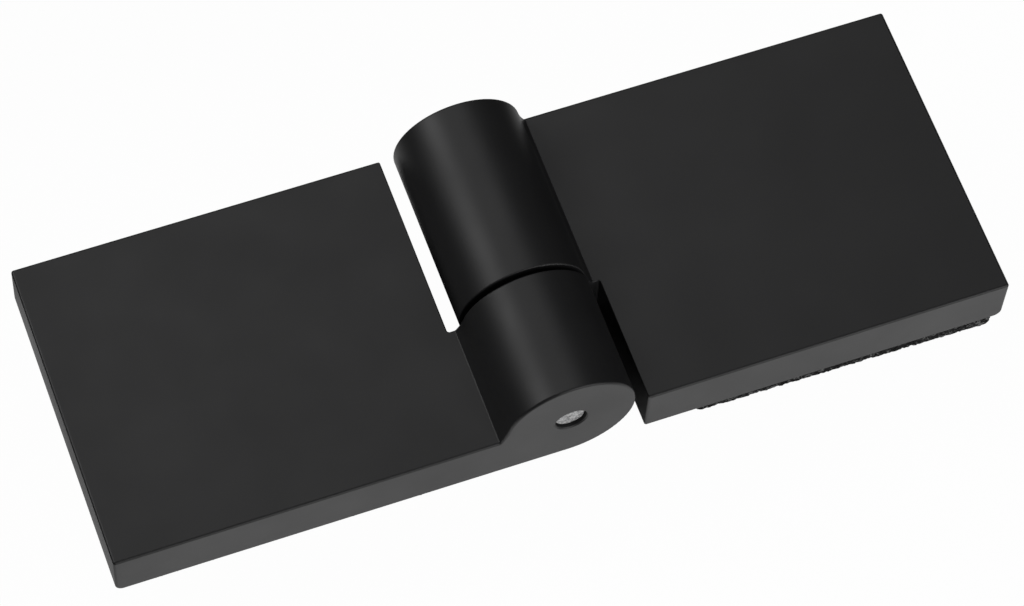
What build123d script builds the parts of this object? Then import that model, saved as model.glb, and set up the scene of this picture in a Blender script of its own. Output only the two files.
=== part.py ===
from build123d import *
import math
import os

# Folding door hinge for two glass panels, lying open and flat as on a closed door.
# X runs across the hinge, with the right leaf at +X. Y runs along the pin, away from the viewer.
# Z points out of the outer faces. The origin is under the middle of the pin, on the plane of the
# clamp discs' faces, which is also the far face of the glass.

# Overall sizes, in millimetres
HINGE_LENGTH = 50.0            # along the pin
LEAF_REACH = 69.5              # from the pin's axis to a leaf's outer edge
KNUCKLE_R = 10.0               # outside radius of both knuckles
LEAF_THICKNESS = 9.3           # from the underside to the outer face
LOWER_KNUCKLE = 19.6           # length of the left leaf's knuckle, at the near end
JOINT_GAP = 0.9                # between the two knuckles
SLOT_WIDTH = 2.1               # between a knuckle and the other leaf's inner edge

# Edges of the leaves
EDGE_ROUND = 0.4               # round along the outer faces and the ends
UNDER_ROUND = 1.3              # larger round along the underside's outer edge
ROOT_RISE = 2.95               # height above the outer face at which a knuckle's blend begins
ROOT_REACH = 1.0               # of the blend's foot from where the knuckle would meet that face
ROOT_CORNER = 0.25             # corner at the blend's foot
SLOT_CORNER = 0.4              # corner at the closed end of the slot and of the notch
EDGE_BREAK = 0.2               # broken edge along the slot and round a bore's outer mouth

# Pin
PIN_D = 4.8
PIN_RECESS = 0.65              # of the pin's ends below the knuckles' end faces
PIN_CHAMFER = 0.25
PIN_CENTRE_D = 0.6             # turning centre in each end
HELD_PLAY = 0.03               # radial play where the pin is held
RUNNING_PLAY = 0.05            # radial play where the pin turns
PIN_FLAT_DEPTH = 0.4           # flat for the grub screw
PIN_FLAT_LENGTH = 6.0

# Bushes and washer
BUSH_WALL = 1.1
BUSH_LENGTH = 10.0
BUSH_CHAMFER = 0.3
BUSH_FOOT_RECESS = 0.2         # of the lower bush below the knuckle's joint face
BUSH_RECESS = 1.5              # of the upper bush below the knuckle's end face
SEAT_PLAY = 0.02               # radial play of the bushes in the knuckle
WASHER_D = 17.0
WASHER_THICKNESS = 0.8

# Grub screw that holds the pin
GRUB_D = 4.0
GRUB_LENGTH = 6.0
GRUB_SOCKET = 2.0              # across flats
GRUB_SOCKET_DEPTH = 2.0
GRUB_CHAMFER = 0.5

# Glass and gaskets
GLASS_THICKNESS = 8.0
GASKET_THICKNESS = 2.5
GASKET_INNER_REACH = 10.1      # of its inner edge beyond the inner clamp, towards the pin
GASKET_OUTER_INSET = 1.1       # of its outer edge from the leaf's outer edge
GASKET_END_INSET = 1.2         # of its ends from the leaf's ends
GASKET_CORNER = 1.2
GASKET_HOLE_PLAY = 1.3         # radial play of the gasket's holes round the clamps
ASKEW_TURN = -0.6              # degrees by which the right gasket is stuck on askew
ASKEW_X = 0.3                  # and the distances by which it is off its place
ASKEW_Y = -0.7

# Glass clamps
CLAMP_INSET = 13.9             # of the outer clamp from the leaf's outer edge
CLAMP_PITCH = 25.0             # from the inner clamp to the outer one
DISC_D = 18.0
DISC_LAND = 0.5                # straight rim of the disc below its cone
DISC_BOSS_D = 12.4
DISC_STOP = 1.0                # by which the boss ends short of the glass's near face
SLEEVE_WALL = 0.9
SLEEVE_STOP = 0.3              # by which the sleeve ends short of the leaf
SCREW_D = 6.0
SCREW_LENGTH = 15.0
SCREW_HEAD_D = 11.3
SCREW_HEAD_EDGE = 0.3          # straight rim of the head below its cone
SCREW_SINK = 0.2               # of the head below the disc's face
SCREW_SOCKET = 4.0             # across flats
SCREW_SOCKET_DEPTH = 2.4
SCREW_TIP = 0.6
SCREW_PLAY = 0.05              # radial play of screws in their threads and of cones in their seats
DISC_HOLE_PLAY = 0.3           # radial play of the screw's shank in the disc
TAP_DEPTH = 6.0                # full depth of a leaf's blind screw hole
DRILL_ANGLE = 118.0            # of that hole's pointed end
TAP_MOUTH = 0.4                # countersink at that hole's mouth

# Heights, places and radii that follow from these
UNDERSIDE_Z = GLASS_THICKNESS + GASKET_THICKNESS
FACE_Z = UNDERSIDE_Z + LEAF_THICKNESS
AXIS_Z = UNDERSIDE_Z + KNUCKLE_R
NEAR_Y = -HINGE_LENGTH / 2
FAR_Y = HINGE_LENGTH / 2
LOWER_TOP_Y = NEAR_Y + LOWER_KNUCKLE
UPPER_FOOT_Y = LOWER_TOP_Y + JOINT_GAP
GRUB_Y = NEAR_Y + LOWER_KNUCKLE / 2
LEAF_INNER_X = KNUCKLE_R + SLOT_WIDTH
OUTER_CLAMP_X = LEAF_REACH - CLAMP_INSET
INNER_CLAMP_X = OUTER_CLAMP_X - CLAMP_PITCH
GASKET_OUTER_X = LEAF_REACH - GASKET_OUTER_INSET
GASKET_INNER_X = INNER_CLAMP_X - GASKET_INNER_REACH
PIN_R = PIN_D / 2
BUSH_BORE_R = PIN_R + RUNNING_PLAY
BUSH_R = BUSH_BORE_R + BUSH_WALL
GRUB_TIP_Z = AXIS_Z - PIN_R + PIN_FLAT_DEPTH
DISC_R = DISC_D / 2
BOSS_R = DISC_BOSS_D / 2
SHANK_R = SCREW_D / 2
HEAD_R = SCREW_HEAD_D / 2
SLEEVE_SHIFT = SCREW_PLAY + SLEEVE_WALL
GASKET_HOLE_R = BOSS_R + SLEEVE_SHIFT + GASKET_HOLE_PLAY
DRILL_POINT = (SHANK_R + SCREW_PLAY) / math.tan(math.radians(DRILL_ANGLE / 2))
CLAMPS = {"inner": INNER_CLAMP_X, "outer": OUTER_CLAMP_X}
SIDES = {"left": -1, "right": 1}

os.makedirs("parts", exist_ok=True)


def across(y, x=0.0):
    """Section plane at this place along the pin, with its own x along X and its own y along Z."""
    return Plane(origin=(x, y, 0), x_dir=(1, 0, 0), z_dir=(0, -1, 0))


def from_below(x, y, z):
    """Plane that faces down, from which holes go up."""
    return Plane(origin=(x, y, z), x_dir=(1, 0, 0), z_dir=(0, 0, -1))


def save(builder, name):
    """Labels a finished piece and writes it to a file of its own."""
    builder.part.label = name
    export_step(builder.part, f"parts/{name}.step")


def leaf(side, joint_y, end_y, bore_r):
    """One leaf: a thick plate along the whole hinge, and a knuckle from its joint to its end.

    The knuckle is tangent to the plate's underside and stands proud of its outer face, and a
    hollow blend sweeps from it down to that face. Past the joint the plate stops short of the
    axis, which leaves the other leaf's knuckle its room. It is drawn as the right leaf, and the
    left one is its mirror image with its own lengths.
    """
    mid_z = (UNDERSIDE_Z + FACE_Z) / 2
    blend_z = FACE_Z + ROOT_RISE
    blend_x = math.sqrt(KNUCKLE_R ** 2 - (blend_z - AXIS_Z) ** 2)
    foot_x = math.sqrt(KNUCKLE_R ** 2 - (FACE_Z - AXIS_Z) ** 2) + ROOT_REACH
    with BuildPart() as body:
        with BuildSketch(across(NEAR_Y)) as plate:
            with Locations(((LEAF_INNER_X + LEAF_REACH) / 2, mid_z)):
                Rectangle(LEAF_REACH - LEAF_INNER_X, LEAF_THICKNESS)
            fillet(plate.vertices().group_by(Axis.X)[-1].sort_by(Axis.Y)[-1], EDGE_ROUND)
            fillet(plate.vertices().group_by(Axis.X)[-1].sort_by(Axis.Y)[0], UNDER_ROUND)
        extrude(amount=-HINGE_LENGTH)

        with BuildSketch(across(joint_y)) as knuckle:
            with BuildLine():
                ThreePointArc((0, UNDERSIDE_Z), (-KNUCKLE_R, AXIS_Z), (blend_x, blend_z))
                TangentArc((blend_x, blend_z), (foot_x, FACE_Z), tangent=(blend_z - AXIS_Z, -blend_x))
                Polyline((foot_x, FACE_Z), (LEAF_INNER_X, FACE_Z), (LEAF_INNER_X, UNDERSIDE_Z),
                         (0, UNDERSIDE_Z))
            make_face()
            fillet(knuckle.vertices().sort_by_distance((foot_x, FACE_Z))[0], ROOT_CORNER)
        extrude(amount=joint_y - end_y)

        corner = (LEAF_INNER_X, joint_y, mid_z)
        fillet(body.edges().filter_by(Axis.Z).sort_by_distance(corner)[0], SLOT_CORNER)
        walls = body.faces().filter_by(Plane.XZ).sort_by(Axis.Y)
        fillet(walls[0].edges() + walls[-1].edges(), EDGE_ROUND)
        slot_middle = (LEAF_INNER_X, (joint_y - end_y) / 2, FACE_Z)
        fillet(body.edges().filter_by(Axis.Y).sort_by_distance(slot_middle)[0], EDGE_BREAK)

        with BuildSketch(across(end_y)):
            with Locations((0, AXIS_Z)):
                Circle(bore_r)
        extrude(amount=end_y - joint_y, mode=Mode.SUBTRACT)
        outer_rim = body.edges().filter_by(GeomType.CIRCLE).sort_by_distance((0, end_y, AXIS_Z))[0]
        chamfer(outer_rim, EDGE_BREAK)

        with Locations([from_below(x, 0, UNDERSIDE_Z) for x in CLAMPS.values()]):
            Hole(SHANK_R + SCREW_PLAY, depth=TAP_DEPTH)
        with Locations([from_below(x, 0, UNDERSIDE_Z + TAP_DEPTH) for x in CLAMPS.values()]):
            Cone(0, SHANK_R + SCREW_PLAY, DRILL_POINT, align=(Align.CENTER, Align.CENTER, Align.MAX),
                 mode=Mode.SUBTRACT)
        mouths = body.faces().filter_by(Plane.XY).sort_by(Axis.Z)[0].inner_wires()
        chamfer([edge for mouth in mouths for edge in mouth.edges()], TAP_MOUTH)

        if side < 0:
            mirror(about=Plane.YZ, mode=Mode.REPLACE)
    return body


def bush(foot_y):
    """Plain bush round the pin, broken at its edges."""
    with BuildPart() as body:
        with BuildSketch(across(foot_y)):
            with Locations((0, AXIS_Z)):
                Circle(BUSH_R)
        extrude(amount=-BUSH_LENGTH)
        chamfer(body.edges().filter_by(GeomType.CIRCLE), BUSH_CHAMFER)
        with BuildSketch(across(foot_y)):
            with Locations((0, AXIS_Z)):
                Circle(BUSH_BORE_R)
        extrude(amount=-BUSH_LENGTH, mode=Mode.SUBTRACT)
    return body


def gasket(side, shift_x, shift_y, turn):
    """Flat seal under a leaf, with a wide hole for each clamp."""
    middle = ((GASKET_INNER_X + GASKET_OUTER_X) / 2 + shift_x, shift_y)
    with BuildPart() as body:
        with BuildSketch(Plane.XY.offset(GLASS_THICKNESS)) as outline:
            with Locations(Location((*middle, 0), (0, 0, turn))):
                RectangleRounded(GASKET_OUTER_X - GASKET_INNER_X, HINGE_LENGTH - 2 * GASKET_END_INSET,
                                 GASKET_CORNER)
                with Locations([(x - middle[0] + shift_x, 0) for x in CLAMPS.values()]):
                    Circle(GASKET_HOLE_R, mode=Mode.SUBTRACT)
        extrude(amount=GASKET_THICKNESS)
        if side < 0:
            mirror(about=Plane.YZ, mode=Mode.REPLACE)
    return body


def turned(x, outline):
    """Solid of revolution about an upright axis at this x, from points of radius and height."""
    with BuildPart() as body:
        with BuildSketch(across(0, x)):
            with BuildLine():
                Polyline(*outline, close=True)
            make_face()
        revolve(axis=Axis((x, 0, 0), (0, 0, 1)))
    return body


def clamp_disc(x):
    """Round clamp plate that lies flush in the glass, its cone in the countersunk hole."""
    cone_foot = DISC_LAND + DISC_R - BOSS_R
    seat_r = HEAD_R + SCREW_PLAY
    seat_z = SCREW_SINK + SCREW_HEAD_EDGE
    hole_r = SHANK_R + DISC_HOLE_PLAY
    return turned(x, [
        (seat_r, 0),
        (DISC_R, 0),
        (DISC_R, DISC_LAND),
        (BOSS_R, cone_foot),
        (BOSS_R, GLASS_THICKNESS - DISC_STOP),
        (hole_r, GLASS_THICKNESS - DISC_STOP),
        (hole_r, seat_z + seat_r - hole_r),
        (seat_r, seat_z),
    ])


def glass_sleeve(x):
    """Liner of the countersunk hole, which keeps the disc off the glass."""
    cone_foot = DISC_LAND + DISC_R - BOSS_R
    top_z = UNDERSIDE_Z - SLEEVE_STOP
    return turned(x, [
        (DISC_R + SCREW_PLAY, 0),
        (DISC_R + SLEEVE_SHIFT, 0),
        (DISC_R + SLEEVE_SHIFT, DISC_LAND),
        (BOSS_R + SLEEVE_SHIFT, cone_foot),
        (BOSS_R + SLEEVE_SHIFT, top_z),
        (BOSS_R + SCREW_PLAY, top_z),
        (BOSS_R + SCREW_PLAY, cone_foot),
        (DISC_R + SCREW_PLAY, DISC_LAND),
    ])


def clamp_screw(x):
    """Countersunk screw from the disc up into the leaf, with a hexagon socket in its head."""
    cone_z = SCREW_SINK + SCREW_HEAD_EDGE
    tip_z = SCREW_SINK + SCREW_LENGTH
    body = turned(x, [
        (0, SCREW_SINK),
        (HEAD_R, SCREW_SINK),
        (HEAD_R, cone_z),
        (SHANK_R, cone_z + HEAD_R - SHANK_R),
        (SHANK_R, tip_z - SCREW_TIP),
        (SHANK_R - SCREW_TIP, tip_z),
        (0, tip_z),
    ])
    with BuildSketch(from_below(x, 0, SCREW_SINK)) as socket:
        RegularPolygon(SCREW_SOCKET / 2, 6, major_radius=False)
    with body:
        extrude(socket.sketch, amount=-SCREW_SOCKET_DEPTH, mode=Mode.SUBTRACT)
    return body


# The leaves. The left one carries the near knuckle, and the right one the far knuckle.
left_leaf = leaf(SIDES["left"], LOWER_TOP_Y, NEAR_Y, PIN_R + HELD_PLAY)
with left_leaf:
    with Locations(from_below(0, GRUB_Y, UNDERSIDE_Z)):
        Hole(GRUB_D / 2 + SCREW_PLAY, depth=KNUCKLE_R)
save(left_leaf, "left_leaf")
right_leaf = leaf(SIDES["right"], UPPER_FOOT_Y, FAR_Y, BUSH_R + SEAT_PLAY)
save(right_leaf, "right_leaf")

# The pin, with a turning centre in each end and a flat for the grub screw
with BuildPart() as hinge_pin:
    with BuildSketch(across(NEAR_Y + PIN_RECESS)):
        with Locations((0, AXIS_Z)):
            Circle(PIN_R)
    extrude(amount=2 * PIN_RECESS - HINGE_LENGTH)
    chamfer(hinge_pin.edges().filter_by(GeomType.CIRCLE), PIN_CHAMFER)
    with Locations(hinge_pin.faces().filter_by(Plane.XZ)):
        Cone(0, PIN_CENTRE_D / 2, PIN_CENTRE_D / 2, align=(Align.CENTER, Align.CENTER, Align.MAX),
             mode=Mode.SUBTRACT)
    with Locations((0, GRUB_Y, GRUB_TIP_Z)):
        Box(PIN_D, PIN_FLAT_LENGTH, PIN_D, align=(Align.CENTER, Align.CENTER, Align.MAX),
            mode=Mode.SUBTRACT)
save(hinge_pin, "hinge_pin")

# The two bushes that the pin turns in, pressed into the right leaf's knuckle
lower_bush = bush(UPPER_FOOT_Y + BUSH_FOOT_RECESS)
save(lower_bush, "lower_bush")
upper_bush = bush(FAR_Y - BUSH_RECESS - BUSH_LENGTH)
save(upper_bush, "upper_bush")

# The washer between the knuckles
with BuildPart() as thrust_washer:
    with BuildSketch(across((LOWER_TOP_Y + UPPER_FOOT_Y - WASHER_THICKNESS) / 2)):
        with Locations((0, AXIS_Z)):
            Circle(WASHER_D / 2)
            Circle(BUSH_BORE_R, mode=Mode.SUBTRACT)
    extrude(amount=-WASHER_THICKNESS)
save(thrust_washer, "thrust_washer")

# The grub screw in the left leaf's knuckle, its tip on the pin's flat
with BuildPart() as pin_grub_screw:
    with BuildSketch(from_below(0, GRUB_Y, GRUB_TIP_Z)):
        Circle(GRUB_D / 2)
    extrude(amount=GRUB_LENGTH)
    chamfer(pin_grub_screw.edges().filter_by(GeomType.CIRCLE), GRUB_CHAMFER)
    with BuildSketch(from_below(0, GRUB_Y, GRUB_TIP_Z - GRUB_LENGTH)):
        RegularPolygon(GRUB_SOCKET / 2, 6, major_radius=False)
    extrude(amount=-GRUB_SOCKET_DEPTH, mode=Mode.SUBTRACT)
save(pin_grub_screw, "pin_grub_screw")

# The gaskets. The left one lies square, and the right one was stuck on a little askew.
left_gasket = gasket(SIDES["left"], 0, 0, 0)
save(left_gasket, "left_gasket")
right_gasket = gasket(SIDES["right"], ASKEW_X, ASKEW_Y, ASKEW_TURN)
save(right_gasket, "right_gasket")

# Two clamps through each glass panel: disc, sleeve and screw
for side_name, side in SIDES.items():
    for place, x in CLAMPS.items():
        save(clamp_disc(side * x), f"{side_name}_{place}_clamp_disc")
        save(glass_sleeve(side * x), f"{side_name}_{place}_glass_sleeve")
        save(clamp_screw(side * x), f"{side_name}_{place}_clamp_screw")
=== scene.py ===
"""Looks of a folding door hinge for two glass panels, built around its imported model.

All sizes are in the model's frame. The solids are in metres, so sizes in millimetres are
turned to metres by MM.
"""

import logging
import math
from dataclasses import dataclass
from enum import Enum
from typing import Any, Mapping, Sequence

import bpy
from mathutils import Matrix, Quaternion, Vector


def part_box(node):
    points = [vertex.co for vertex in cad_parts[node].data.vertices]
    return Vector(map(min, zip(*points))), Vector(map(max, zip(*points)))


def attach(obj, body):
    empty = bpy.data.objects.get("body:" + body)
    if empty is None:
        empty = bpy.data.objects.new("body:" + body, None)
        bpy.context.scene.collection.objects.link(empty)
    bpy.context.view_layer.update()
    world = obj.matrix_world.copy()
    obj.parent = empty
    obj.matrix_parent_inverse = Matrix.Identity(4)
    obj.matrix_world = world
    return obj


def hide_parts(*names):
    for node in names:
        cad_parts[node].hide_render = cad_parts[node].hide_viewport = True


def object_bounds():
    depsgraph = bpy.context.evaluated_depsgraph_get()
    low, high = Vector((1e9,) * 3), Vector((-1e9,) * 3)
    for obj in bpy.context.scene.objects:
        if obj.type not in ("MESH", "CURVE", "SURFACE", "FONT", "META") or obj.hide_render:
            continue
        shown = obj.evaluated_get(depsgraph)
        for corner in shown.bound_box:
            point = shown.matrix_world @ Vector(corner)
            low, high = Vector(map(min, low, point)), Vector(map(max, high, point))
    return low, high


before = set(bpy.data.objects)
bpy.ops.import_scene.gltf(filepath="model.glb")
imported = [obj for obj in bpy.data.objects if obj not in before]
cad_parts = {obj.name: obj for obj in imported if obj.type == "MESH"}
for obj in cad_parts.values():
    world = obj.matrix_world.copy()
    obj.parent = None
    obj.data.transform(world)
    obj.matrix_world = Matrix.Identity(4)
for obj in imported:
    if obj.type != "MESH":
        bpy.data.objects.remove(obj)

MM = 0.001
LOG = logging.getLogger("hinge")
CAD_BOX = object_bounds()

# The right gasket lies a little askew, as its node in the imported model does.
ASKEW_SHIFT_MM = (0.3, -0.7)
ASKEW_TURN_DEG = -0.6

# The curve between an sRGB colour and its linear values.
SRGB_FULL = 255
SRGB_TOE_END = 0.04045
SRGB_TOE_SLOPE = 12.92
SRGB_OFFSET = 0.055
SRGB_GAMMA = 2.4

# Length of one wave of the wave texture at a scale of 1.
WAVE_LENGTH = 0.314
WHITE = (1, 1, 1, 1)

Socket = bpy.types.NodeSocket
Material = bpy.types.Material
Object = bpy.types.Object


class Side(Enum):
    """The two leaves, by the name of their nodes, the body they ride on and their sense of X."""

    LEFT = ("left", "fixed_leaf", -1.0)
    RIGHT = ("right", "folding_leaf", 1.0)

    @property
    def word(self) -> str:
        """Start of the names of this side's nodes."""
        return self.value[0]

    @property
    def body(self) -> str:
        """Body that this side's pieces ride on."""
        return self.value[1]

    @property
    def sense(self) -> float:
        """Direction of this side along X, -1 or 1."""
        return self.value[2]


class TurnAxis(Enum):
    """Axis that a turned or headed piece of steel was spun about."""

    ALONG_PIN = "Y"
    UPRIGHT = "Z"


def linear(colour: str) -> tuple[float, float, float, float]:
    """Turns an sRGB hex colour to linear red, green, blue and a full alpha.

    Args:
        colour: Six hex digits with a leading hash.

    Returns:
        The four linear values.
    """
    parts = [int(colour[i:i + 2], 16) / SRGB_FULL for i in (1, 3, 5)]
    red, green, blue = (
        part / SRGB_TOE_SLOPE if part <= SRGB_TOE_END
        else ((part + SRGB_OFFSET) / (1 + SRGB_OFFSET)) ** SRGB_GAMMA
        for part in parts
    )
    return red, green, blue, 1.0


def middle_mm(node: str) -> Vector:
    """Middle of a node's box at rest, in millimetres."""
    low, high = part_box(node)
    return (low + high) / 2 / MM


def feed(tree: bpy.types.NodeTree, node: bpy.types.Node, inputs: Mapping[Any, Any]) -> None:
    """Sets or links the inputs of a node.

    Args:
        tree: The node tree.
        node: The node.
        inputs: Name or number of an input, with its value or the output that feeds it.
    """
    for name, value in inputs.items():
        if isinstance(value, Socket):
            tree.links.new(value, node.inputs[name])
        else:
            node.inputs[name].default_value = value


def add_node(tree: bpy.types.NodeTree, kind: str, inputs: Mapping[Any, Any] | None = None,
             **settings: Any) -> bpy.types.Node:
    """Adds a node to a tree, with its settings and its links.

    Args:
        tree: The node tree.
        kind: The node's type, such as ShaderNodeTexNoise.
        inputs: Name or number of an input, with its value or the output that feeds it.
        settings: The node's own settings by name.

    Returns:
        The new node.
    """
    node = tree.nodes.new(kind)
    for name, value in settings.items():
        setattr(node, name, value)
    feed(tree, node, inputs or {})
    return node


def new_material(name: str) -> tuple[Material, bpy.types.NodeTree, bpy.types.Node, Socket]:
    """Starts a material with its surface shader and its Object coordinates.

    Args:
        name: The material's name.

    Returns:
        The material, its tree, its Principled shader and the output of Object coordinates.
    """
    material = bpy.data.materials.new(name)
    material.use_nodes = True
    tree = material.node_tree
    tree.nodes.clear()
    shader = add_node(tree, "ShaderNodeBsdfPrincipled")
    add_node(tree, "ShaderNodeOutputMaterial", {"Surface": shader.outputs["BSDF"]})
    coordinates = add_node(tree, "ShaderNodeTexCoord")
    return material, tree, shader, coordinates.outputs["Object"]


@dataclass(frozen=True)
class PowderCoat:
    """Matt polyester powder coating, sprayed dry and baked on to the brass leaves.

    To the eye it is an even near-black with a soft sheen, a very fine pebbled skin from the
    melted grains, and a roughness that drifts a little where the film is thicker.
    """

    name: str = "powder_coat_matt_black"
    base: str = "#161617"
    dusty: str = "#1e1e1f"
    ior: float = 1.5
    roughness: float = 0.48
    roughness_drift: float = 0.04
    pebble_mm: float = 0.22
    pebble_octaves: float = 2.0
    pebble_breakup: float = 0.5
    pebble_span: tuple[float, float] = (0.35, 0.75)
    pebble_dust: float = 0.5
    pebble_height_mm: float = 0.006
    pebble_strength: float = 0.35
    drift_mm: float = 14.0
    drift_octaves: float = 3.0
    drift_breakup: float = 0.55
    drift_span: tuple[float, float] = (0.3, 0.75)
    drift_dust: float = 0.35
    gloss_span: tuple[float, float] = (0.25, 0.75)

    def material(self) -> Material:
        """Builds the coating.

        Returns:
            The finished material.
        """
        material, tree, shader, place = new_material(self.name)
        pebble = add_node(tree, "ShaderNodeTexNoise",
                          {"Vector": place, "Scale": 1 / (self.pebble_mm * MM),
                           "Detail": self.pebble_octaves, "Roughness": self.pebble_breakup})
        drift = add_node(tree, "ShaderNodeTexNoise",
                         {"Vector": place, "Scale": 1 / (self.drift_mm * MM),
                          "Detail": self.drift_octaves, "Roughness": self.drift_breakup})
        tone = add_node(tree, "ShaderNodeMapRange",
                        {"Value": drift.outputs["Fac"], "From Min": self.drift_span[0],
                         "From Max": self.drift_span[1], "To Max": self.drift_dust})
        grain = add_node(tree, "ShaderNodeMapRange",
                         {"Value": pebble.outputs["Fac"], "From Min": self.pebble_span[0],
                          "From Max": self.pebble_span[1], "To Max": self.pebble_dust})
        share = add_node(tree, "ShaderNodeMath",
                         {0: tone.outputs["Result"], 1: grain.outputs["Result"]}, operation="ADD")
        colour = add_node(tree, "ShaderNodeMix",
                          {"Factor": share.outputs["Value"], "A": linear(self.base),
                           "B": linear(self.dusty)}, data_type="RGBA")
        gloss = add_node(tree, "ShaderNodeMapRange",
                         {"Value": drift.outputs["Fac"], "From Min": self.gloss_span[0],
                          "From Max": self.gloss_span[1],
                          "To Min": self.roughness - self.roughness_drift,
                          "To Max": self.roughness + self.roughness_drift})
        skin = add_node(tree, "ShaderNodeBump",
                        {"Height": pebble.outputs["Fac"], "Strength": self.pebble_strength,
                         "Distance": self.pebble_height_mm * MM})
        feed(tree, shader, {"Base Color": colour.outputs["Result"],
                            "Roughness": gloss.outputs["Result"],
                            "Normal": skin.outputs["Normal"], "IOR": self.ior})
        return material


@dataclass(frozen=True)
class TurnedSteel:
    """Stainless steel, turned or cold headed, so fine rings run round its own axis.

    To the eye it is a mid grey metal, dull on the sawn or pressed faces, with faint rings and
    small pits that break the reflections.
    """

    name: str
    axis: TurnAxis
    centre_mm: tuple[float, float, float]
    bright: str = "#b9b8b4"
    dull: str = "#8d8c89"
    roughness: float = 0.42
    rougher_where_dull: float = 0.12
    smoother_where_bright: float = 0.08
    ring_mm: float = 0.16
    ring_octaves: float = 2.0
    ring_octave_scale: float = 1.5
    ring_wobble: float = 0.8
    pit_mm: float = 0.35
    pit_octaves: float = 4.0
    pit_breakup: float = 0.6
    pit_span: tuple[float, float] = (0.35, 0.65)
    pit_share: float = 0.5
    mark_height_mm: float = 0.01
    mark_strength: float = 0.5

    def material(self) -> Material:
        """Builds the metal, with its rings about the piece's own axis.

        Returns:
            The finished material.
        """
        material, tree, shader, place = new_material(self.name)
        centred = add_node(tree, "ShaderNodeMapping",
                           {"Vector": place, "Location": [-value * MM for value in self.centre_mm]})
        rings = add_node(tree, "ShaderNodeTexWave",
                         {"Vector": centred.outputs["Vector"],
                          "Scale": WAVE_LENGTH / (self.ring_mm * MM),
                          "Distortion": self.ring_wobble, "Detail": self.ring_octaves,
                          "Detail Scale": self.ring_octave_scale},
                         wave_type="RINGS", rings_direction=self.axis.value)
        pits = add_node(tree, "ShaderNodeTexNoise",
                        {"Vector": centred.outputs["Vector"], "Scale": 1 / (self.pit_mm * MM),
                         "Detail": self.pit_octaves, "Roughness": self.pit_breakup})
        worn = add_node(tree, "ShaderNodeMapRange",
                        {"Value": pits.outputs["Fac"], "From Min": self.pit_span[0],
                         "From Max": self.pit_span[1]})
        colour = add_node(tree, "ShaderNodeMix",
                          {"Factor": worn.outputs["Result"], "A": linear(self.dull),
                           "B": linear(self.bright)}, data_type="RGBA")
        height = add_node(tree, "ShaderNodeMix",
                          {"Factor": self.pit_share, "A": rings.outputs["Fac"],
                           "B": pits.outputs["Fac"]}, data_type="FLOAT")
        marks = add_node(tree, "ShaderNodeBump",
                         {"Height": height.outputs["Result"], "Strength": self.mark_strength,
                          "Distance": self.mark_height_mm * MM})
        gloss = add_node(tree, "ShaderNodeMapRange",
                         {"Value": pits.outputs["Fac"],
                          "To Min": self.roughness + self.rougher_where_dull,
                          "To Max": self.roughness - self.smoother_where_bright})
        feed(tree, shader, {"Base Color": colour.outputs["Result"],
                            "Roughness": gloss.outputs["Result"],
                            "Normal": marks.outputs["Normal"], "Metallic": 1.0})
        return material


@dataclass(frozen=True)
class Acetal:
    """Black acetal, turned from rod, for the bushes and the washer.

    To the eye it is a waxy black with a faint sheen and the lines of the cutting tool.
    """

    name: str = "acetal_black_turned"
    base: str = "#161718"
    worn: str = "#232425"
    ior: float = 1.48
    roughness: float = 0.38
    tool_mark_mm: float = 0.12
    tool_mark_octaves: float = 1.0
    tool_mark_wobble: float = 0.4
    tool_mark_height_mm: float = 0.006
    tool_mark_strength: float = 0.3
    cloud_mm: float = 2.0
    cloud_octaves: float = 3.0

    def material(self) -> Material:
        """Builds the plastic.

        Returns:
            The finished material.
        """
        material, tree, shader, place = new_material(self.name)
        marks = add_node(tree, "ShaderNodeTexWave",
                         {"Vector": place, "Scale": WAVE_LENGTH / (self.tool_mark_mm * MM),
                          "Distortion": self.tool_mark_wobble, "Detail": self.tool_mark_octaves},
                         wave_type="BANDS", bands_direction="Y")
        cloud = add_node(tree, "ShaderNodeTexNoise",
                         {"Vector": place, "Scale": 1 / (self.cloud_mm * MM),
                          "Detail": self.cloud_octaves})
        colour = add_node(tree, "ShaderNodeMix",
                          {"Factor": cloud.outputs["Fac"], "A": linear(self.base),
                           "B": linear(self.worn)}, data_type="RGBA")
        ridges = add_node(tree, "ShaderNodeBump",
                          {"Height": marks.outputs["Fac"], "Strength": self.tool_mark_strength,
                           "Distance": self.tool_mark_height_mm * MM})
        feed(tree, shader, {"Base Color": colour.outputs["Result"],
                            "Normal": ridges.outputs["Normal"],
                            "Roughness": self.roughness, "IOR": self.ior})
        return material


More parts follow.
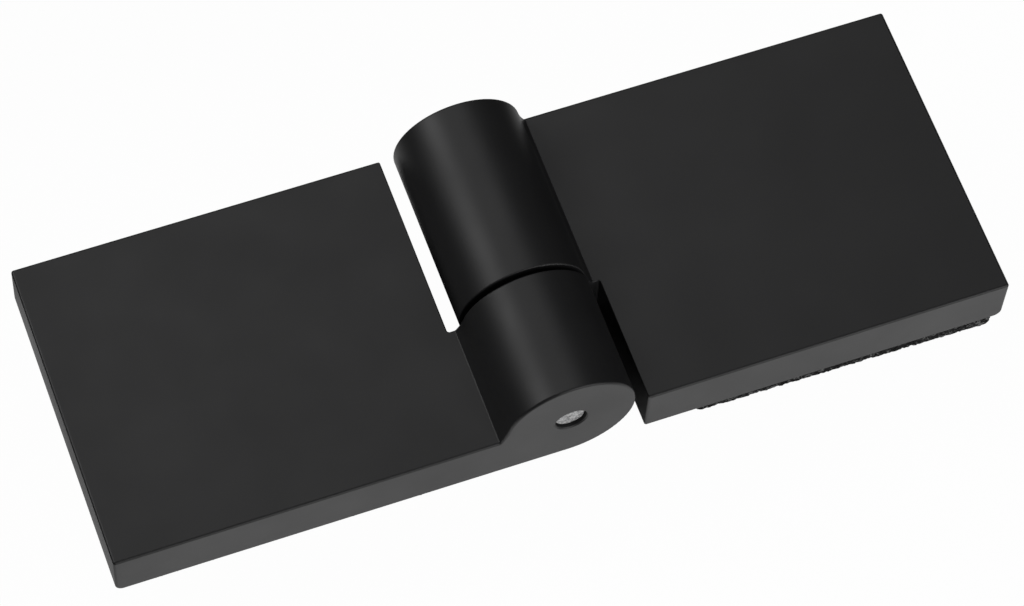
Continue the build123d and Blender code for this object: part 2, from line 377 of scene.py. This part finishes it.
@dataclass(frozen=True)
class Polyethylene:
    """Natural polyethylene, injection moulded, for the sleeves in the glass.

    To the eye it is milky and a little translucent, with a soft skin and faint flow marks.
    """

    name: str = "polyethylene_natural_moulded"
    base: str = "#d5d6d0"
    thick: str = "#bfc1ba"
    ior: float = 1.51
    roughness: float = 0.4
    flow_mm: float = 3.0
    flow_octaves: float = 2.0
    flow_swirl: float = 1.2
    flow_height_mm: float = 0.02
    flow_strength: float = 0.2
    milkiness: float = 0.3
    light_reach_mm: tuple[float, float, float] = (1.2, 1.2, 1.1)

    def material(self) -> Material:
        """Builds the plastic.

        Returns:
            The finished material.
        """
        material, tree, shader, place = new_material(self.name)
        flow = add_node(tree, "ShaderNodeTexNoise",
                        {"Vector": place, "Scale": 1 / (self.flow_mm * MM),
                         "Detail": self.flow_octaves, "Distortion": self.flow_swirl})
        colour = add_node(tree, "ShaderNodeMix",
                          {"Factor": flow.outputs["Fac"], "A": linear(self.base),
                           "B": linear(self.thick)}, data_type="RGBA")
        skin = add_node(tree, "ShaderNodeBump",
                        {"Height": flow.outputs["Fac"], "Strength": self.flow_strength,
                         "Distance": self.flow_height_mm * MM})
        feed(tree, shader, {"Base Color": colour.outputs["Result"],
                            "Normal": skin.outputs["Normal"],
                            "Roughness": self.roughness, "IOR": self.ior,
                            "Subsurface Weight": self.milkiness,
                            "Subsurface Radius": [reach * MM for reach in self.light_reach_mm],
                            "Subsurface Scale": 1.0})
        return material


@dataclass(frozen=True)
class FibreGasket:
    """Fibre and rubber gasket sheet, stamped out of a board.

    To the eye it is black with ragged grey flecks, about a millimetre long, that stand out on
    the cut edge and show faintly through the skin of the two flats. The cut is porous and
    swallows light, so it has next to no sheen.
    """

    name: str = "gasket_sheet_fibre_rubber"
    rubber: str = "#0c0c0c"
    fleck: str = "#787878"
    roughness: float = 0.9
    gloss_share: float = 0.2
    fleck_mm: float = 0.8
    fleck_octaves: float = 5.0
    fleck_breakup: float = 0.65
    fleck_swirl: float = 0.6
    fleck_span: tuple[float, float] = (0.52, 0.62)
    flat_span: tuple[float, float] = (0.7, 0.95)
    shown_through_skin: float = 0.25
    torn_height_mm: float = 0.15
    torn_strength: float = 0.8

    def material(self) -> Material:
        """Builds the sheet.

        Returns:
            The finished material.
        """
        material, tree, shader, place = new_material(self.name)
        flecks = add_node(tree, "ShaderNodeTexNoise",
                          {"Vector": place, "Scale": 1 / (self.fleck_mm * MM),
                           "Detail": self.fleck_octaves, "Roughness": self.fleck_breakup,
                           "Distortion": self.fleck_swirl})
        spots = add_node(tree, "ShaderNodeMapRange",
                         {"Value": flecks.outputs["Fac"], "From Min": self.fleck_span[0],
                          "From Max": self.fleck_span[1]})
        facing = add_node(tree, "ShaderNodeSeparateXYZ", {"Vector": place.node.outputs["Normal"]})
        flat = add_node(tree, "ShaderNodeMath", {0: facing.outputs["Z"]}, operation="ABSOLUTE")
        shown = add_node(tree, "ShaderNodeMapRange",
                         {"Value": flat.outputs["Value"], "From Min": self.flat_span[0],
                          "From Max": self.flat_span[1], "To Min": 1.0,
                          "To Max": self.shown_through_skin})
        share = add_node(tree, "ShaderNodeMath",
                         {0: spots.outputs["Result"], 1: shown.outputs["Result"]},
                         operation="MULTIPLY")
        colour = add_node(tree, "ShaderNodeMix",
                          {"Factor": share.outputs["Value"], "A": linear(self.rubber),
                           "B": linear(self.fleck)}, data_type="RGBA")
        torn = add_node(tree, "ShaderNodeBump",
                        {"Height": flecks.outputs["Fac"], "Strength": self.torn_strength,
                         "Distance": self.torn_height_mm * MM})
        feed(tree, shader, {"Base Color": colour.outputs["Result"],
                            "Normal": torn.outputs["Normal"], "Roughness": self.roughness,
                            "Specular IOR Level": self.gloss_share})
        return material


def dress(node: str, material: Material) -> None:
    """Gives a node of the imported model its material.

    Args:
        node: The node's name.
        material: The material for the whole node.
    """
    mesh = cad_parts[node].data
    mesh.materials.clear()
    mesh.materials.append(material)
    for polygon in mesh.polygons:
        polygon.material_index = 0


def apply_modifier(obj: Object, kind: str, name: str, **settings: Any) -> None:
    """Adds a modifier to the active object, sets it and applies it.

    Args:
        obj: The object, which is active and selected.
        kind: The modifier's type, such as REMESH.
        name: The modifier's name.
        settings: The modifier's own settings by name.
    """
    modifier = obj.modifiers.new(name, kind)
    for setting, value in settings.items():
        setattr(modifier, setting, value)
    bpy.ops.object.modifier_apply(modifier=name)


@dataclass
class Gasket:
    """Seal under a leaf, stamped out of fibre sheet, with a torn rim.

    It is modelled about its own middle, and then laid in its place. The stamp has torn the
    fibres, so the rim is eaten away unevenly, by less than half a millimetre.
    """

    side: Side
    inner_x_mm: float = 20.5
    outer_x_mm: float = 68.4
    length_mm: float = 47.6
    glass_face_z_mm: float = 8.0
    thickness_mm: float = 2.5
    corner_mm: float = 1.2
    corner_segments: int = 6
    hole_r_mm: float = 8.45
    hole_segments: int = 72
    hole_places_mm: tuple[float, float] = (30.6, 55.6)
    punch_depth_mm: float = 7.5
    shift_mm: tuple[float, float] = (0.0, 0.0)
    turn_deg: float = 0.0
    voxel_mm: float = 0.3
    flat_normal_z: float = 0.9
    tear_mm: float = 0.3
    tear_spacing_mm: float = 0.9
    fray_mm: float = 0.35
    fray_spacing_mm: float = 0.3
    cloud_octaves: int = 1
    unmoved_grey: float = 0.5
    kept_share: float = 0.4

    @property
    def middle_x_mm(self) -> float:
        """Distance of the outline's middle from the pin, before any shift."""
        return (self.inner_x_mm + self.outer_x_mm) / 2

    def make(self, sheet: Material) -> Object:
        """Models the seal, dresses it and lays it in the place of its node.

        Args:
            sheet: The gasket sheet.

        Returns:
            The finished piece.
        """
        piece = self.stamp()
        self.tear(piece)
        self.lay(piece)
        piece.data.materials.clear()
        piece.data.materials.append(sheet)
        node = f"{self.side.word}_gasket"
        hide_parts(node)
        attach(piece, self.side.body)
        return piece

    def stamp(self) -> Object:
        """Stamps the outline with its round corners and its two holes.

        Returns:
            The plain plate, about its own middle.
        """
        width = self.outer_x_mm - self.inner_x_mm
        bpy.ops.object.select_all(action="DESELECT")
        bpy.ops.mesh.primitive_cube_add(size=1.0, scale=(width * MM, self.length_mm * MM,
                                                         self.thickness_mm * MM))
        piece = bpy.context.object
        piece.name = f"{self.side.word}_gasket_torn"
        bpy.ops.object.transform_apply(location=True, rotation=True, scale=True)
        bpy.ops.object.mode_set(mode="EDIT")
        bpy.ops.mesh.select_mode(type="EDGE")
        bpy.ops.mesh.select_all(action="DESELECT")
        bpy.ops.object.mode_set(mode="OBJECT")
        for edge in piece.data.edges:
            low, high = (piece.data.vertices[index].co for index in edge.vertices)
            edge.select = abs(low.z - high.z) > self.thickness_mm * MM / 2
        bpy.ops.object.mode_set(mode="EDIT")
        bpy.ops.mesh.bevel(offset=self.corner_mm * MM, segments=self.corner_segments,
                           affect="EDGES")
        bpy.ops.object.mode_set(mode="OBJECT")
        for place in self.hole_places_mm:
            self.punch(piece, place - self.middle_x_mm)
        return piece

    def punch(self, piece: Object, place_mm: float) -> None:
        """Punches one round hole.

        Args:
            piece: The plate.
            place_mm: The hole's place along the plate, outwards from its middle.
        """
        bpy.ops.object.select_all(action="DESELECT")
        bpy.ops.mesh.primitive_cylinder_add(vertices=self.hole_segments,
                                            radius=self.hole_r_mm * MM,
                                            depth=self.punch_depth_mm * MM,
                                            location=(self.side.sense * place_mm * MM, 0, 0))
        punch = bpy.context.object
        bpy.ops.object.select_all(action="DESELECT")
        piece.select_set(True)
        bpy.context.view_layer.objects.active = piece
        apply_modifier(piece, "BOOLEAN", "hole", object=punch, operation="DIFFERENCE")
        bpy.data.objects.remove(punch)

    def tear(self, piece: Object) -> None:
        """Tears the rim in coarse bites and fine fibres, and leaves the two flats plain.

        Args:
            piece: The plate, active and selected.
        """
        apply_modifier(piece, "REMESH", "fibres", mode="VOXEL", voxel_size=self.voxel_mm * MM)
        rim = piece.vertex_groups.new(name="rim")
        upright = [vertex.index for vertex in piece.data.vertices
                   if abs(vertex.normal.z) < self.flat_normal_z]
        rim.add(upright, 1.0, "REPLACE")
        for name, spacing, depth in (("bites", self.tear_spacing_mm, self.tear_mm),
                                     ("fray", self.fray_spacing_mm, self.fray_mm)):
            cloud = bpy.data.textures.new(f"gasket_{name}", "CLOUDS")
            cloud.noise_scale = spacing * MM
            cloud.noise_depth = self.cloud_octaves
            apply_modifier(piece, "DISPLACE", name, texture=cloud, texture_coords="LOCAL",
                           vertex_group=rim.name, strength=depth * MM,
                           mid_level=self.unmoved_grey)
        apply_modifier(piece, "DECIMATE", "flats", ratio=self.kept_share)

    def lay(self, piece: Object) -> None:
        """Lays the seal under its leaf, inside the model's box.

        Args:
            piece: The torn plate, active and selected.
        """
        shift_x, shift_y = self.shift_mm
        middle_x = self.middle_x_mm + shift_x
        middle_z = self.glass_face_z_mm + self.thickness_mm / 2
        piece.location = Vector((self.side.sense * middle_x, shift_y, middle_z)) * MM
        piece.rotation_euler = (0, 0, self.side.sense * math.radians(self.turn_deg))
        bpy.ops.object.transform_apply(location=True, rotation=True, scale=True)
        front = CAD_BOX[0][1]
        foot = self.glass_face_z_mm * MM
        for vertex in piece.data.vertices:
            vertex.co.y = max(vertex.co.y, front)
            vertex.co.z = max(vertex.co.z, foot)


@dataclass
class Leaf:
    """One leaf with its gasket and its two glass clamps."""

    side: Side
    gasket: Gasket
    clamp_places: tuple[str, str] = ("inner", "outer")

    def make(self, coat: Material, sleeve: Material, sheet: Material) -> list[str]:
        """Dresses the leaf and what is fixed to it.

        Args:
            coat: The coating of the leaf and of the clamp discs.
            sleeve: The plastic of the sleeves.
            sheet: The gasket sheet.

        Returns:
            Names of the pieces that are done.
        """
        word = self.side.word
        done = [f"{word}_leaf", self.gasket.make(sheet).name]
        dress(done[0], coat)
        for place in self.clamp_places:
            stem = f"{word}_{place}"
            middle = middle_mm(f"{stem}_clamp_screw")
            steel = TurnedSteel(f"stainless_screw_{stem}", TurnAxis.UPRIGHT,
                                (middle.x, middle.y, 0.0))
            dress(f"{stem}_clamp_disc", coat)
            dress(f"{stem}_glass_sleeve", sleeve)
            dress(f"{stem}_clamp_screw", steel.material())
            done += [f"{stem}_clamp_disc", f"{stem}_glass_sleeve", f"{stem}_clamp_screw"]
        return done


@dataclass
class Pivot:
    """The pin with its bushes, its washer and the grub screw that holds it."""

    bearing_nodes: tuple[str, ...] = ("lower_bush", "upper_bush", "thrust_washer")
    pin_bright: str = "#e2e2e2"
    pin_dull: str = "#8a8a8b"
    pin_roughness: float = 0.7

    def make(self) -> list[str]:
        """Dresses the pin and what it turns in.

        Returns:
            Names of the pieces that are done.
        """
        pin_steel = TurnedSteel("stainless_pin_turned", TurnAxis.ALONG_PIN,
                                (0.0, 0.0, middle_mm("hinge_pin").z), bright=self.pin_bright,
                                dull=self.pin_dull, roughness=self.pin_roughness)
        dress("hinge_pin", pin_steel.material())
        grub_steel = TurnedSteel("stainless_grub_screw", TurnAxis.UPRIGHT,
                                 (0.0, middle_mm("pin_grub_screw").y, 0.0))
        dress("pin_grub_screw", grub_steel.material())
        acetal = Acetal().material()
        for node in self.bearing_nodes:
            dress(node, acetal)
        return ["hinge_pin", "pin_grub_screw", *self.bearing_nodes]


@dataclass(frozen=True)
class Lamp:
    """A soft square lamp that faces the hinge."""

    name: str
    place_m: tuple[float, float, float]
    side_m: float
    power_w: float

    def make(self) -> None:
        """Hangs the lamp."""
        data = bpy.data.lights.new(self.name, "AREA")
        data.shape = "SQUARE"
        data.size = self.side_m
        data.energy = self.power_w
        lamp = bpy.data.objects.new(self.name, data)
        bpy.context.scene.collection.objects.link(lamp)
        place = Vector(self.place_m)
        lamp.location = place
        lamp.rotation_euler = (-place).to_track_quat("-Z", "Y").to_euler()


@dataclass
class Studio:
    """White paper, three soft lamps, and the camera.

    The room past the paper is dim, which is what leaves the knuckles' far sides dark.
    """

    floor_half_m: float = 6.0
    floor_drop_mm: float = 0.1
    paper_colour: str = "#f4f4f4"
    room_colour: str = "#8a8a8a"
    paper_roughness: float = 0.9
    paper_middle_mm: tuple[float, float] = (61.0, -25.0)
    paper_half_mm: tuple[float, float] = (119.0, 50.0)
    paper_fade_mm: float = 45.0
    floor_glow: float = 0.98
    paper_mirrored_glow: float = 1.0
    contact_shadow_mm: float = 40.0
    contact_samples: int = 8
    contact_open: tuple[float, float] = (0.41, 0.58)
    sky_strength: float = 0.06
    camera_place_mm: tuple[float, float, float] = (-120.62, -265.86, 571.48)
    camera_aim_mm: tuple[float, float, float] = (-0.56, -1.86, 15.5)
    camera_roll_deg: float = 4.987
    camera_near_m: float = 0.01
    sensor_mm: float = 36.0
    lens_mm: float = 148.59
    lamps: tuple[Lamp, ...] = (
        Lamp("key_behind_left", (-0.733, 0.533, 0.787), 0.5, 3.8),
        Lamp("overhead_back", (0.07, 0.56, 1.06), 0.7, 2.1),
        Lamp("fill_front", (0.42, -1.0, 0.46), 0.9, 6.0),
    )

    def make(self) -> None:
        """Builds the floor, the light and the camera."""
        self.make_floor()
        self.make_sky()
        for lamp in self.lamps:
            lamp.make()
        self.make_camera()

    def make_floor(self) -> None:
        """Lays the paper, just below the hinge."""
        bpy.ops.mesh.primitive_plane_add(size=2 * self.floor_half_m,
                                         location=(0, 0, -self.floor_drop_mm * MM))
        floor = bpy.context.object
        floor.name = "studio_floor"
        floor.data.materials.append(self.paper())

    def paper(self) -> Material:
        """Builds the paper, white in the picture but for a faint shadow.

        In reflections it is as white, except close under the hinge, where the hinge's own
        contact shadow shows, and past its edge, where the dark room begins.

        Returns:
            The finished material.
        """
        material, tree, shader, place = new_material("studio_floor_paper")
        on_paper = self.on_paper(tree, place)
        white = add_node(tree, "ShaderNodeMath", {0: self.in_the_open(tree), 1: on_paper},
                         operation="MULTIPLY")
        colour = add_node(tree, "ShaderNodeMix",
                          {"Factor": on_paper, "A": linear(self.room_colour),
                           "B": linear(self.paper_colour)}, data_type="RGBA")
        feed(tree, shader, {"Base Color": colour.outputs["Result"],
                            "Roughness": self.paper_roughness})
        rays = add_node(tree, "ShaderNodeLightPath")
        mirrored = add_node(tree, "ShaderNodeMath",
                            {0: rays.outputs["Is Glossy Ray"],
                             1: rays.outputs["Is Transmission Ray"]}, operation="MAXIMUM")
        share = add_node(tree, "ShaderNodeMath",
                         {0: rays.outputs["Is Camera Ray"], 1: self.floor_glow,
                          2: mirrored.outputs["Value"]}, operation="MULTIPLY_ADD")
        strength = add_node(tree, "ShaderNodeMath",
                            {0: rays.outputs["Is Camera Ray"], 1: white.outputs["Value"]},
                            operation="MAXIMUM")
        glow = add_node(tree, "ShaderNodeEmission",
                        {"Color": WHITE, "Strength": strength.outputs["Value"]})
        mixed = add_node(tree, "ShaderNodeMixShader",
                         {0: share.outputs["Value"], 1: shader.outputs["BSDF"],
                          2: glow.outputs["Emission"]})
        output = next(node for node in tree.nodes if node.type == "OUTPUT_MATERIAL")
        feed(tree, output, {"Surface": mixed.outputs["Shader"]})
        return material

    def on_paper(self, tree: bpy.types.NodeTree, place: Socket) -> Socket:
        """Finds where the paper is, fading out past its edge.

        Args:
            tree: The floor's node tree.
            place: Its Object coordinates.

        Returns:
            The output that is 1 on the paper and 0 in the room.
        """
        middle = [value * MM for value in self.paper_middle_mm]
        half = [size * MM for size in self.paper_half_mm]
        centred = add_node(tree, "ShaderNodeVectorMath", {0: place, 1: (*middle, 0)},
                           operation="SUBTRACT")
        away = add_node(tree, "ShaderNodeVectorMath", {0: centred.outputs["Vector"]},
                        operation="ABSOLUTE")
        past = add_node(tree, "ShaderNodeVectorMath", {0: away.outputs["Vector"], 1: (*half, 0)},
                        operation="SUBTRACT")
        outside = add_node(tree, "ShaderNodeVectorMath", {0: past.outputs["Vector"], 1: (0, 0, 0)},
                           operation="MAXIMUM")
        distance = add_node(tree, "ShaderNodeVectorMath", {0: outside.outputs["Vector"]},
                            operation="LENGTH")
        share = add_node(tree, "ShaderNodeMapRange",
                         {"Value": distance.outputs["Value"],
                          "From Max": self.paper_fade_mm * MM, "To Min": 1.0, "To Max": 0.0},
                         interpolation_type="SMOOTHSTEP")
        return share.outputs["Result"]

    def in_the_open(self, tree: bpy.types.NodeTree) -> Socket:
        """Finds where the hinge's contact shadow ends.

        Args:
            tree: The floor's node tree.

        Returns:
            The output that is 0 under the hinge and the mirrored glow in the open.
        """
        contact = add_node(tree, "ShaderNodeAmbientOcclusion",
                           {"Distance": self.contact_shadow_mm * MM}, samples=self.contact_samples)
        share = add_node(tree, "ShaderNodeMapRange",
                         {"Value": contact.outputs["AO"], "From Min": self.contact_open[0],
                          "From Max": self.contact_open[1], "To Max": self.paper_mirrored_glow})
        return share.outputs["Result"]

    def make_sky(self) -> None:
        """Lights the room dimly and evenly, and shows it white past the paper's edge."""
        world = bpy.data.worlds.new("studio_room")
        bpy.context.scene.world = world
        world.use_nodes = True
        tree = world.node_tree
        tree.nodes.clear()
        rays = add_node(tree, "ShaderNodeLightPath")
        strength = add_node(tree, "ShaderNodeMapRange",
                            {"Value": rays.outputs["Is Camera Ray"], "To Min": self.sky_strength,
                             "To Max": 1.0})
        light = add_node(tree, "ShaderNodeBackground",
                         {"Color": WHITE, "Strength": strength.outputs["Result"]})
        add_node(tree, "ShaderNodeOutputWorld", {"Surface": light.outputs["Background"]})

    def make_camera(self) -> None:
        """Puts the camera where the photograph was taken from."""
        data = bpy.data.cameras.new("camera")
        data.sensor_width = self.sensor_mm
        data.lens = self.lens_mm
        data.clip_start = self.camera_near_m
        camera = bpy.data.objects.new("camera", data)
        bpy.context.scene.collection.objects.link(camera)
        place = Vector(self.camera_place_mm) * MM
        aim = Vector(self.camera_aim_mm) * MM
        roll = Quaternion((0, 0, 1), math.radians(self.camera_roll_deg))
        camera.location = place
        camera.rotation_euler = ((aim - place).to_track_quat("-Z", "Y") @ roll).to_euler()
        bpy.context.scene.camera = camera


def main() -> None:
    """Builds the looks of each sub-assembly in order, and reports its pieces."""
    logging.basicConfig(level=logging.INFO, format="%(message)s")
    bpy.ops.object.select_all(action="DESELECT")
    bpy.context.scene.view_settings.view_transform = "Standard"
    coat = PowderCoat().material()
    sleeve = Polyethylene().material()
    sheet = FibreGasket().material()
    left = Leaf(Side.LEFT, Gasket(Side.LEFT))
    right = Leaf(Side.RIGHT, Gasket(Side.RIGHT, shift_mm=ASKEW_SHIFT_MM, turn_deg=ASKEW_TURN_DEG))
    for leaf in (left, right):
        for name in leaf.make(coat, sleeve, sheet):
            LOG.info("done: %s", name)
    for name in Pivot().make():
        LOG.info("done: %s", name)
    Studio().make()


if __name__ == "__main__":
    main()
